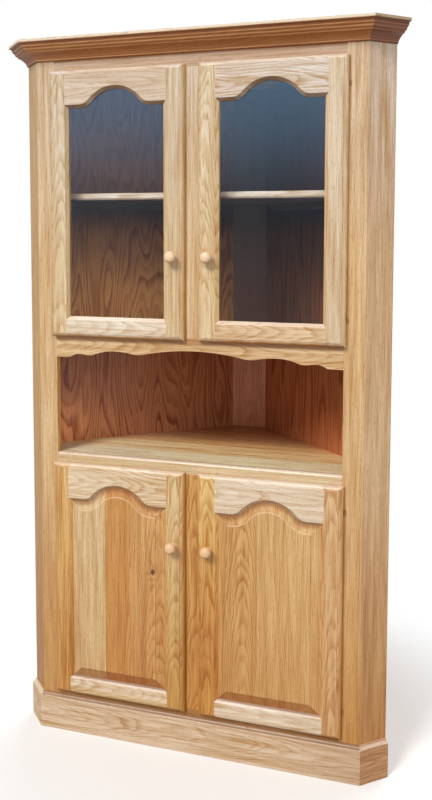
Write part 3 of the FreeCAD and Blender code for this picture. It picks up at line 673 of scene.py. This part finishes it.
frameWood = {
    "left_stile": dict(straightToo, way="upright", tone=(0.66, 0.435, 0.205)),
    # its first band is painted shade, darker near the floor
    "right_stile": dict(straight, way="upright", tone=(0.66, 0.42, 0.19),
                        bands=[(upward, -1.0, 0.25, 0.15, (0.91, 0.85, 0.78)),
                               (upward, 1.58, 1.76, 0.05, (0.92, 0.90, 0.86))]),
    "upper_mullion": dict(straight, way="upright", tone=(0.66, 0.46, 0.23)),
    "lower_mullion": dict(flame, way="upright", tone=(0.64, 0.365, 0.115), figure=1.3,
                          wander=0.026),
    # darker tone and band: painted shadow of the crown
    "top_rail": dict(straight, way="level", tone=(0.545, 0.36, 0.215),
                     bands=[(upward, 1.9405, 1.9470, 0.0008, (0.72, 0.58, 0.48))]),
    # band: painted shadow of the upper doors on the apron
    "apron_rail": dict(flame, way="level", tone=(0.66, 0.43, 0.205),
                       bands=[(upward, 1.1595, 1.3, 0.004, (0.74, 0.58, 0.50))]),
    "counter_rail": dict(straight, way="level", tone=(0.63, 0.445, 0.23), coat=0.5, topHighlight=0.6,
                         figure=0.6, streaks=0.9),
    # dark tone: painted shadow of the lower doors on this rail
    "bottom_rail": dict(straight, way="level", tone=(0.38, 0.175, 0.055), coat=0.0, gloss=0.15),
    "left_return": dict(straight, way="leftReturnUpright", tone=(0.50, 0.28, 0.09), **matt),
    # band: painted shade, darker near the floor
    "right_return": dict(straightToo, way="rightReturnUpright", tone=(0.70, 0.45, 0.225),
                         bands=[(upward, -1.0, 0.25, 0.15, (0.88, 0.78, 0.64))]),
    "back_corner_board": dict(flame, way="upright", tone=(0.52, 0.19, 0.07),
                              outside=(1.35, 2.05, 2.1),
                              shadeTints=((0.29, 0.27, 0.27), (0.13, 0.12, 0.11),
                                     (0.06, 0.06, 0.06))),
    "crown_front": dict(straight, way="level", tone=(0.76, 0.365, 0.128), **crownLook),
    "crown_left": dict(straight, way="leftReturnLevel", tone=(0.55, 0.25, 0.09), **matt,
                       **crownLook),
    "crown_right": dict(straight, way="rightReturnLevel", tone=(0.42, 0.168, 0.078),
                        **dict(crownLook, under=(0.5, 0.33, 0.2),
                               lip=(1.9925, (0.50, 0.35, 0.20)))),
    # painted shade toward the right end, and a painted shadow of the doors on the top ledge
    "base_front": dict(flame, way="level", tone=(0.645, 0.45, 0.265), wander=0.02, figure=0.8,
                       bands=[(rightward, 0.36, 1.0, 0.12, (0.80, 0.72, 0.66)),
                              (upward, 0.0962, 0.2, 0.0010, (0.48, 0.37, 0.28))]),
    "base_left": dict(flame, way="leftReturnLevel", tone=(0.60, 0.40, 0.22), figure=0.8, **matt),
    "base_right": dict(flame, way="rightReturnLevel", tone=(0.505, 0.255, 0.10), figure=0.8),
    # its first band is painted shade toward the back of the bay
    "counter_panel": dict(straight, way="flat", tone=(0.99, 0.77, 0.47), figure=1.7, streaks=1.8,
                          ringGap=0.009, wander=0.03, deep=0.55, base=-0.08, coat=0.15,
                          glued=[(-0.16, (0.97, 0.64, 0.31)), (-0.05, (0.93, 0.53, 0.22)),
                                 (0.10, (0.84, 0.44, 0.165))],
                          bands=[(inward, 0.03, 2.0, 0.10, (0.44, 0.35, 0.35)),
                                 (rightward, -0.14, 1.0, 0.14, (1.0, 0.93, 0.82))]),
    # painted shade on the shelf's underside and along the lower part of its front edge
    "upper_shelf": dict(straight, way="flat", tone=(0.74, 0.60, 0.43), edge=1.0,
                        underside=(0.30, 0.22, 0.16),
                        bands=[(upward, 0.0, 1.564, 0.0012, (0.45, 0.38, 0.33))]),
    "lower_shelf": dict(straight, way="flat", tone=(0.62, 0.42, 0.22)),
    "wall_cleats": cleatWood,
    "return_cleats": cleatWood,
}
for number, (node, board) in enumerate(frameWood.items()):
    if "outside" in board:
        board["halfway"] = halfwayThrough(node, board["way"])
    dress(node, oak(node + "_oak", board, middleOf(node), number + 1.0))

# Painted glow on inner faces near the open side: from and to across the sheet, three heights
# (start, full up to, end), tint.
plywood = {
    "left_back_wall": {
        "way": "leftWallUpright", "tone": (0.365, 0.116, 0.036),
        "lines": 30.0, "across": 6.0, "along": 1.2, "fibre": 1.3,
        "outside": (1.95, 3.4, 4.3),
        "paintedGlow": [((-0.48, -0.22), (0.80, 0.86, 1.02), (2.4, 2.7, 2.4)),
                     ((-0.50, -0.02), (1.17, 1.20, 1.47), (2.0, 2.0, 1.7))],
        "shadeTints": ((1.5, 1.9, 1.15), (0.72, 0.74, 0.62), (0.18, 0.16, 0.14)),
    },
    "right_back_wall": {
        "way": "rightWallUpright", "tone": (0.385, 0.106, 0.030),
        "lines": 20.0, "along": 0.5, "fibre": 1.2,
        "outside": (1.85, 3.75, 5.2),
        "shadeTints": ((0.42, 0.50, 0.56), (0.22, 0.22, 0.22), (0.06, 0.06, 0.06)),
    },
    "floor_panel": {"way": "flat", "tone": (0.55, 0.34, 0.16)},
    "upper_deck": {"way": "flat", "tone": (0.50, 0.28, 0.12)},
    "top_panel": {"way": "flat", "tone": (0.55, 0.36, 0.19)},
}
for number, (node, sheet) in enumerate(plywood.items()):
    if "outside" in sheet:
        sheet["halfway"] = halfwayThrough(node, sheet["way"])
    dress(node, peeledOak(node + "_plywood", sheet, number + 2.0))
print("carcass dressed")

# Painted shade on the bottom rails' upper edge under a panel, darkest where it meets the panel.
mouldedTopShade = [(upward, 0.169, 1.0, 0.0015, (0.86, 0.86, 0.88)),
              (inward, -0.2592, -0.25, 0.0012, (0.40, 0.25, 0.16))]
# Painted shade on the lip below a pane and on the arch above it.
lowerLipShade = (upward, 0.0, 1.1785, 0.0015, (0.92, 0.68, 0.42))
archShade = dict(matt, under=(0.22, 0.07, 0.02))
stopWood = dict(straight, way="upright", tone=(0.60, 0.40, 0.22))
doorWood = {
    "upper_left": {
        "hinge_stile": dict(flame, way="upright", tone=(0.67, 0.48, 0.25), figure=0.7, streaks=1.0,
                            side=(0.8, 0.62, 0.38)),
        "meeting_stile": dict(straight, way="upright", tone=(0.65, 0.47, 0.25), heightTint=(0.7, 1.0),
                              bands=[(upward, 1.62, 1.76, 0.05, (0.94, 0.89, 0.85))]),
        "top_rail": dict(flame, way="level", tone=(0.66, 0.51, 0.35), figure=0.5, streaks=0.8,
                         **archShade),
        "bottom_rail": dict(flame, way="level", tone=(0.74, 0.585, 0.40), figure=0.7, streaks=1.0,
                            bands=[(rightward, -0.32, -0.14, 0.05, (1.06, 1.12, 1.18)), lowerLipShade]),
        "glass_stops": stopWood,
    },
    "upper_right": {
        "hinge_stile": dict(straightToo, way="upright", tone=(0.655, 0.48, 0.28),
                            heightTint=(0.2, 1.0)),
        "meeting_stile": dict(wildFlame, way="upright", tone=(0.70, 0.51, 0.265),
                              heightTint=(0.6, 1.0), figure=0.75, streaks=1.0,
                              side=(1.3, 1.15, 0.9)),
        "top_rail": dict(wildFlame, way="level", tone=(0.69, 0.56, 0.425), figure=1.0,
                         **archShade),
        "bottom_rail": dict(flame, way="level", tone=(0.68, 0.46, 0.25), bands=[lowerLipShade]),
        "glass_stops": stopWood,
    },
    "lower_left": {
        "hinge_stile": dict(straight, way="upright", tone=(0.69, 0.435, 0.165),
                            heightTint=(1.0, 1.1), streaks=2.2, figure=1.4),
        "meeting_stile": dict(flame, way="upright", tone=(0.70, 0.505, 0.25), heightTint=(1.0, 1.2)),
        "top_rail": dict(flame, way="level", tone=(0.73, 0.55, 0.335), figure=0.8, streaks=1.1),
        # its last two bands are painted shade toward the door's foot
        "bottom_rail": dict(flame, way="level", tone=(0.70, 0.51, 0.315), figure=0.8,
                            bands=mouldedTopShade + [(upward, 0.0, 0.142, 0.008, (0.86, 0.76, 0.56)),
                                               (upward, 0.0, 0.1275, 0.002, (0.80, 0.70, 0.55))]),
        "panel": dict(straight, way="upright", tone=(0.69, 0.49, 0.25), heightTint=(1.0, 0.6),
                      figure=0.8,
                      glued=[(-0.037, (0.59, 0.29, 0.082)), (0.042, (0.63, 0.345, 0.123))],
                      knot={"place": (0.110, 0.0545), "radius": 0.0062,
                            "tone": (0.09, 0.04, 0.018)}),
    },
    "lower_right": {
        "hinge_stile": dict(flame, way="upright", tone=(0.64, 0.39, 0.175), heightTint=(1.0, 0.5)),
        "meeting_stile": dict(wildFlame, way="upright", tone=(0.73, 0.455, 0.165),
                              heightTint=(1.0, 1.15),
                              bands=[(upward, 0.60, 0.90, 0.03, (1.05, 1.14, 1.18)),
                                     (upward, 0.20, 0.42, 0.07, (0.88, 0.79, 0.73))]),
        "top_rail": dict(flame, way="level", tone=(0.73, 0.57, 0.385), figure=0.5, streaks=0.9),
        # its last band is painted shade toward the right end
        "bottom_rail": dict(flame, way="level", tone=(0.76, 0.60, 0.42), figure=0.6, streaks=1.0,
                            bands=mouldedTopShade + [(rightward, 0.26, 1.0, 0.06, (0.91, 0.89, 0.84))]),
        "panel": dict(flame, way="upright", tone=(0.63, 0.365, 0.13), heightTint=(1.0, 0.6),
                      pith=(-0.075, 0.04), glued=[(-0.03, (0.665, 0.41, 0.165))]),
    },
}
glass = clearGlass("pane_glass")
darkBronze = bronze("hinge_bronze")
for door, members in doorWood.items():
    for number, (member, board) in enumerate(members.items()):
        node = door + "_" + member
        if member == "panel":
            board["raised"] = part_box(node)[0][1]
        seed = number + 20.0 + 5.0 * list(doorWood).index(door)
        dress(node, oak(node + "_oak", board, middleOf(node), seed))
    if door.startswith("upper"):
        dress(door + "_pane", glass)
    dress(door + "_hinge_leaves", darkBronze)
dress("hinge_frame_leaves", darkBronze)
dress("hinge_pins", darkBronze)
dress("magnetic_catches", plastic("catch_plastic", (0.16, 0.085, 0.045), 0.5))
print("doors dressed")

bedded = -0.0002        # how far fasteners reach into what they stand on


def joinLoops(work, low, high):
    # a belt of faces between two loops of equal length
    for step in range(len(low)):
        after = (step + 1) % len(low)
        work.faces.new((low[step], low[after], high[after], high[step]))


def turnProfile(work, profile, place, axis, steps=40):
    # a solid of revolution: profile is (radius, distance along axis), from end to end
    axis = Vector(axis).normalized()
    side = axis.orthogonal().normalized()
    other = axis.cross(side)
    rings = []
    for radius, reach in profile:
        centre = Vector(place) + axis * reach
        if radius < 1e-7:       # a point on the axis
            rings.append([work.verts.new(centre)])
            continue
        ring = []
        for step in range(steps):
            angle = 2 * math.pi * step / steps
            ring.append(work.verts.new(
                centre + side * (radius * math.cos(angle)) + other * (radius * math.sin(angle))))
        rings.append(ring)
    for low, high in zip(rings, rings[1:]):
        if len(low) == len(high):
            joinLoops(work, low, high)
            continue
        for step in range(steps):
            after = (step + 1) % steps
            if len(low) == 1:
                work.faces.new((low[0], high[after], high[step]))
            else:
                work.faces.new((low[step], low[after], high[0]))
    for ring, flip in ((rings[0], True), (rings[-1], False)):
        if len(ring) > 1:
            work.faces.new(ring[::-1] if flip else ring)


def roundCurve(points, steps=6):
    # a smooth line through the points of a turning
    line = []
    padded = [points[0]] + points + [points[-1]]
    for a, b, c, d in zip(padded, padded[1:], padded[2:], padded[3:]):
        for step in range(steps):
            t = step / steps
            line.append(tuple(
                0.5 * (2 * q + (r - p) * t + (2 * p - 5 * q + 4 * r - s) * t * t
                       + (3 * q - p - 3 * r + s) * t ** 3)
                for p, q, r, s in zip(a, b, c, d)))
    line.append(points[-1])
    return line


def meshOf(name, work, smoothAngle=None):
    bmesh.ops.recalc_face_normals(work, faces=work.faces)
    mesh = bpy.data.meshes.new(name)
    work.to_mesh(mesh)
    work.free()
    if smoothAngle is not None:
        for face in mesh.polygons:
            face.use_smooth = True
        mesh.set_sharp_from_angle(angle=math.radians(smoothAngle))
    return mesh


def newPiece(name, work, smoothAngle, material, body):
    piece = bpy.data.objects.new(name, meshOf(name, work, smoothAngle))
    scene.collection.objects.link(piece)
    piece.data.materials.append(material)
    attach(piece, body)
    return piece


# Turned knobs, smoother than their solids and on the same outline.
turnedKnob = {
    "radius": 0.016,
    "length": 0.032,
    "foot": [(0.62, 0.0), (0.61, 0.06)],
    "outline": [(0.60, 0.08), (0.45, 0.26), (0.62, 0.37), (0.91, 0.47), (1.0, 0.61),
                (0.93, 0.79), (0.66, 0.93), (0.30, 0.99), (0.0, 1.0)],
    # painted shade on the knob's underside
    "wood": {"way": "upright", "tone": (0.86, 0.58, 0.33), "pith": (0.05, 0.03), "ringGap": 0.003,
             "figure": 0.4, "streaks": 0.5, "wander": 0.003, "deep": 0.84, "edge": 1.0,
             "under": (0.78, 0.58, 0.36), "side": (1.0, 1.0, 1.0), "topHighlight": 0.0, "coat": 0.5,
             "coatRoughness": 0.28},
}
for number, door in enumerate(doorWood):
    node = door + "_knob"
    centre = middleOf(node)
    profile = [(0.0, 0.0)] + turnedKnob["foot"] + roundCurve(turnedKnob["outline"])
    work = bmesh.new()
    turnProfile(work, [(radius * turnedKnob["radius"], reach * turnedKnob["length"])
                       for radius, reach in profile],
                (centre.x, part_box(node)[1][1], centre.z), (0, -1, 0))
    wood = oak(node + "_oak", turnedKnob["wood"], centre, number + 50.0)
    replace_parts(newPiece(node + "_turned", work, 35, wood, door + "_door"), node)
print("knobs turned")

# Screws, each drawn standing up and then turned into place.
screwKinds = {
    "hinge": {"radius": 0.0029, "rise": 0.0006, "recess": 0.0016},
    "catch": {"radius": 0.0030, "rise": 0.0012, "recess": 0.0017},
    "strike": {"radius": 0.0026, "rise": 0.0002, "recess": 0.0015},
    "knob": {"radius": 0.0048, "rise": 0.0021, "recess": 0.0023},
}


def screwHead(work, kind, place, toward, turn):
    # a domed head with a cross recess that narrows as it goes down
    radius, rise, recess = kind["radius"], kind["rise"], kind["recess"]
    steps = 24
    arm = recess * 0.28
    cross = [(recess, -arm), (recess, arm), (arm, arm), (arm, recess), (-arm, recess), (-arm, arm),
             (-recess, arm), (-recess, -arm), (-arm, -arm), (-arm, -recess), (arm, -recess),
             (arm, -arm)]
    facing = Vector(toward).to_track_quat("Z", "Y").to_matrix()

    def put(x, y, z):
        turned = Vector((x * math.cos(turn) - y * math.sin(turn),
                         x * math.sin(turn) + y * math.cos(turn), z))
        return work.verts.new(Vector(place) + facing @ turned)

    def ring(reach, z):
        return [put(reach * math.cos(2 * math.pi * step / steps),
                    reach * math.sin(2 * math.pi * step / steps), z) for step in range(steps)]

    rings = [ring(radius, bedded), ring(radius, rise * 0.25), ring(radius * 0.88, rise * 0.68),
             ring(radius * 0.64, rise)]
    for low, high in zip(rings, rings[1:]):
        joinLoops(work, low, high)
    top = [put(x, y, rise) for x, y in cross]
    sunk = [put(x * 0.6, y * 0.6, rise - recess * 0.8) for x, y in cross]
    rim = [work.edges.new((a, b)) for a, b in zip(top, top[1:] + top[:1])]
    inner = [work.edges.get((a, b)) for a, b in zip(rings[-1], rings[-1][1:] + rings[-1][:1])]
    bmesh.ops.triangle_fill(work, edges=rim + inner, use_beauty=True)
    for index in range(len(cross)):
        after = (index + 1) % len(cross)
        work.faces.new((top[index], sunk[index], sunk[after], top[after]))
    work.faces.new(sunk)


def screws(name, kind, places, body, material):
    # places: where each head sits and the way it faces
    chance = random.Random(name)
    work = bmesh.new()
    for place, toward in places:
        screwHead(work, screwKinds[kind], place, toward, chance.uniform(0, math.pi))
    newPiece(name, work, 40, material, body)


def sides(door):
    # which way the door's hinge lies, and the planes its fittings stand on
    side = 1 if "right" in door else -1
    stileLow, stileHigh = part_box(door + "_hinge_stile")
    return side, stileHigh[1], stileLow[2], stileHigh[2]


hingeFixing = {
    "plateHeight": 0.046,
    "plateThick": 0.001,
    "spread": 0.014,        # screws above and below the hinge's middle
    "fromEdge": 0.008,      # and in from the free edge of the door's plate
    "wrapBack": 0.017,      # back from the frame's face, on the frame's plate
    "pinRadius": 0.00125,
    "pinSearch": 0.03,      # a pin's ends lie nearer to its middle than this
    "tipRadius": 0.0021,
    "tipRise": 0.0011,
}


def pinReach(middle):
    # half the length of the pin whose middle lies at this height
    away = [abs(vertex.co.z - middle) for vertex in nodes["hinge_pins"].data.vertices]
    return max(reach for reach in away if reach < hingeFixing["pinSearch"])


def fastenHinges():
    fixing = hingeFixing
    opening = -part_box("left_stile")[1][0]
    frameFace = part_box("left_stile")[0][1]
    pinLow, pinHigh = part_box("hinge_pins")
    radius, rise = fixing["tipRadius"], fixing["tipRise"]
    tip = [(radius * math.cos(angle), rise * math.sin(angle))
           for angle in (0.0, 0.35, 0.7, 1.05, 1.35)] + [(0.0, rise)]
    tips = bmesh.new()
    for door in doorWood:
        side, doorBack, _, _ = sides(door)
        low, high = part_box(door + "_hinge_leaves")
        free = low[0] if side > 0 else high[0]
        onDoor = []
        onFrame = []
        for middle in (low[2] + fixing["plateHeight"] / 2, high[2] - fixing["plateHeight"] / 2):
            for lift in (-fixing["spread"], fixing["spread"]):
                onDoor.append(((free + side * fixing["fromEdge"], doorBack + fixing["plateThick"],
                                middle + lift), inward))
                onFrame.append(((side * (opening - fixing["plateThick"]),
                                 frameFace + fixing["wrapBack"], middle + lift), (-side, 0, 0)))
            # rounded tips on the pin
            for way in (-1, 1):
                turnProfile(tips, tip, (side * (pinHigh[0] - fixing["pinRadius"]),
                                        (pinLow[1] + pinHigh[1]) / 2,
                                        middle + way * pinReach(middle)), (0, 0, way), 16)
        screws(door + "_hinge_screws", "hinge", onDoor, door + "_door", darkBronze)
        screws(door + "_frame_screws", "hinge", onFrame, "carcass", darkBronze)
    newPiece("hinge_pin_tips", tips, 50, darkBronze, "carcass")


strikePlate = {
    "width": 0.011,
    "height": 0.034,
    "thick": 0.0014,
    "corner": 0.003,
    "catchWidth": 0.014,
    "catchHeight": 0.040,
    "screwSpread": 0.0125,
    "cornerSteps": 5,
    "tone": (0.62, 0.60, 0.56),
}


def roundedPlate(work, centre, plate):
    # a plate that stands on the door's back, its corners rounded and its edges eased
    corner, thick, steps = plate["corner"], plate["thick"], plate["cornerSteps"]
    outline = []
    for index, (sx, sz) in enumerate(((1, -1), (1, 1), (-1, 1), (-1, -1))):
        for step in range(steps + 1):
            angle = (index - 1 + step / steps) * math.pi / 2
            outline.append((sx * (plate["width"] / 2 - corner) + corner * math.cos(angle),
                            sz * (plate["height"] / 2 - corner) + corner * math.sin(angle)))
    layers = []
    for reach, scale in ((bedded, 1.0), (thick * 0.75, 1.0), (thick, 0.97)):
        layers.append([work.verts.new((centre[0] + x * scale, centre[1] + reach,
                                       centre[2] + z * scale)) for x, z in outline])
    for low, high in zip(layers, layers[1:]):
        joinLoops(work, low, high)
    work.faces.new(layers[0])
    work.faces.new(layers[-1])


def fitCatches():
    plate = strikePlate
    low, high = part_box("magnetic_catches")
    zinc = plated("catch_zinc", plate["tone"], 0.32)
    middles = {"upper": high[2] - plate["catchHeight"] / 2,
               "lower": low[2] + plate["catchHeight"] / 2}
    onCatch = []
    for door in doorWood:
        side, doorBack, _, _ = sides(door)
        middle = middles[door.split("_")[0]]
        across = side * (high[0] - plate["catchWidth"] / 2)
        work = bmesh.new()
        roundedPlate(work, (across, doorBack, middle), plate)
        newPiece(door + "_strike_plate", work, 30, zinc, door + "_door")
        screws(door + "_strike_screw", "strike",
               [((across, doorBack + plate["thick"], middle), inward)], door + "_door", zinc)
        for lift in (-plate["screwSpread"], plate["screwSpread"]):
            onCatch.append(((side * high[0], (low[1] + high[1]) / 2, middle + lift), (side, 0, 0)))
    screws("catch_screws", "catch", onCatch, "carcass", zinc)


bumper = {
    "radius": 0.0027,
    "thick": 0.0021,
    "inset": 0.0031,        # in from the meeting edge
    "fromEnd": 0.016,
    "tone": (0.62, 0.58, 0.50),
}


def fitDoorBacks():
    # bumpers in the corners that meet the mullion, and the screws that hold the knobs
    rubber = plastic("bumper_rubber", bumper["tone"], 0.45)
    steel = plated("knob_screw_steel", (0.66, 0.60, 0.48), 0.3)
    radius, thick = bumper["radius"], bumper["thick"]
    profile = [(radius, bedded), (radius, thick * 0.55), (radius * 0.9, thick * 0.82),
               (radius * 0.6, thick * 0.96), (0.0, thick)]
    for door in doorWood:
        side, doorBack, bottom, top = sides(door)
        meetLow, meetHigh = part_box(door + "_meeting_stile")
        edge = meetLow[0] if side > 0 else meetHigh[0]
        work = bmesh.new()
        for height in (bottom + bumper["fromEnd"], top - bumper["fromEnd"]):
            turnProfile(work, profile, (edge + side * bumper["inset"], doorBack, height),
                        inward, 24)
        newPiece(door + "_bumpers", work, 35, rubber, door + "_door")
        middle = middleOf(door + "_knob")
        screws(door + "_knob_screw", "knob", [((middle.x, doorBack, middle.z), inward)],
               door + "_door", steel)


fastenHinges()
fitCatches()
fitDoorBacks()
print("fasteners fitted")

# The floor: white paper that fades into the white around it.
room = {
    "floorRadius": 60.0,
    "floorDrop": 0.0004,
    "floorTone": 0.92,
    "bounceTone": 0.32,     # what the floor throws back on the hutch
    "fadeFrom": 0.5,
    "fadeTo": 1.05,
}


def grey(tone):
    return colour(tone, tone, tone)


def layFloor():
    work = bmesh.new()
    bmesh.ops.create_circle(work, cap_ends=True, segments=96, radius=room["floorRadius"])
    for vertex in work.verts:
        vertex.co.z = -room["floorDrop"]
    floor = bpy.data.objects.new("studioFloor", meshOf("studioFloor", work))
    scene.collection.objects.link(floor)
    shade = newShade("floor_paper")
    seen = shade.seen()
    paper, dim = [shade.node("ShaderNodeBsdfDiffuse", {}, {"Color": grey(room[tone])})
                  for tone in ("floorTone", "bounceTone")]
    white = shade.node("ShaderNodeEmission", {}, {"Color": grey(1), "Strength": 1.0})
    far = shade.length(shade.place()).ease(room["fadeFrom"], room["fadeTo"]) * seen
    floor.data.materials.append(shade.finish(
        shade.either(far, shade.either(seen, dim, paper), white)))


layFloor()

# Soft, far-off lamps: height and side in degrees, seen from the face.
lighting = {
    "ambient": 0.48,
    "lamps": {
        "key": {"height": 40.0, "side": -20.0, "strength": 2.3, "spread": 20.0,
                "tint": (1.0, 0.995, 0.985)},
        "fill": {"height": 15.0, "side": 42.0, "strength": 0.6, "spread": 60.0,
                 "tint": (0.99, 0.995, 1.0)},
        "back": {"height": 40.0, "side": 170.0, "strength": 1.2, "spread": 50.0,
                 "tint": (1.0, 1.0, 1.0)},
    },
    "distance": 6.0,
}


def hangLights():
    studio = Shade(bpy.data.worlds.new("studio"), "World")
    ambient, white = [studio.node("ShaderNodeBackground", {}, {"Color": grey(tone)})
                      for tone in (lighting["ambient"], 1.0)]
    scene.world = studio.finish(studio.either(studio.seen(), ambient, white))
    for name, setting in lighting["lamps"].items():
        lamp = bpy.data.lights.new(name + "Light", "SUN")
        lamp.angle = math.radians(setting["spread"])
        lamp.energy = setting["strength"]
        lamp.color = setting["tint"]
        light = bpy.data.objects.new(name + "Light", lamp)
        toward = outwardFrom(setting["side"], setting["height"])
        light.location = toward * lighting["distance"]
        light.rotation_euler = (-toward).to_track_quat("-Z", "Y").to_euler()
        scene.collection.objects.link(light)


hangLights()
scene.view_settings.view_transform = "Standard"
print("studio lit")
